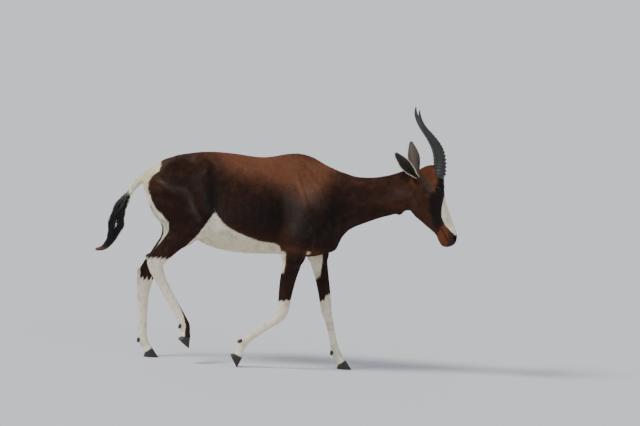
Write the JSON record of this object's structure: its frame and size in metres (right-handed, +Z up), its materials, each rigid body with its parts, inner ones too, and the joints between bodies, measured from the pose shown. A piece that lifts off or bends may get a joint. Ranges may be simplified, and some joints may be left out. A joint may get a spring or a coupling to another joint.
{
  "type": "bontebok",
  "caption": "Life-size walking bontebok ram as a still museum model, with ringed horns, a white blaze, rump patch, belly and stockings, and a dark tail tuft.",
  "frame": {"origin": "on the floor under the middle of the whole length, on the body's midline", "axes": "+X towards the head, +Y to the animal's left, +Z up"},
  "size_m": [1.5359, 0.2846, 1.1461],
  "materials": {
    "coat_dark": "short glossy hair, chocolate brown with a rufous back",
    "coat_head": "short hair, dark brown with a white blaze",
    "coat_white": "short white hair",
    "coat_ear": "thin hair, grey-brown with pale rims",
    "tail_hair": "long black hair with reddish ends",
    "horn": "ringed dark keratin",
    "hoof": "dark keratin, faintly grooved",
    "eye": "wet gloss"
  },
  "bodies": {
    "root": {"torso": "coat_dark", "neck": "coat_dark", "hind_right_thigh": "coat_dark", "hind_left_thigh": "coat_dark", "fore_right_forearm": "coat_dark", "fore_left_forearm": "coat_dark", "head": "coat_head", "hind_right_cannon": "coat_white", "hind_right_pastern": "coat_white", "hind_right_hoof_inner": "hoof", "hind_right_hoof_outer": "hoof", "hind_left_cannon": "coat_white", "hind_left_pastern": "coat_white", "hind_left_hoof_inner": "hoof", "hind_left_hoof_outer": "hoof", "fore_right_cannon": "coat_white", "fore_right_pastern": "coat_white", "fore_right_hoof_inner": "hoof", "fore_right_hoof_outer": "hoof", "fore_left_cannon": "coat_white", "fore_left_pastern": "coat_white", "fore_left_hoof_inner": "hoof", "fore_left_hoof_outer": "hoof", "tail_dock": "coat_white", "tail_tuft": "tail_hair", "horn_left": "horn", "ear_left": "coat_ear", "eye_left": "eye", "horn_right": "horn", "ear_right": "coat_ear", "eye_right": "eye"}
  },
  "joints": []
}
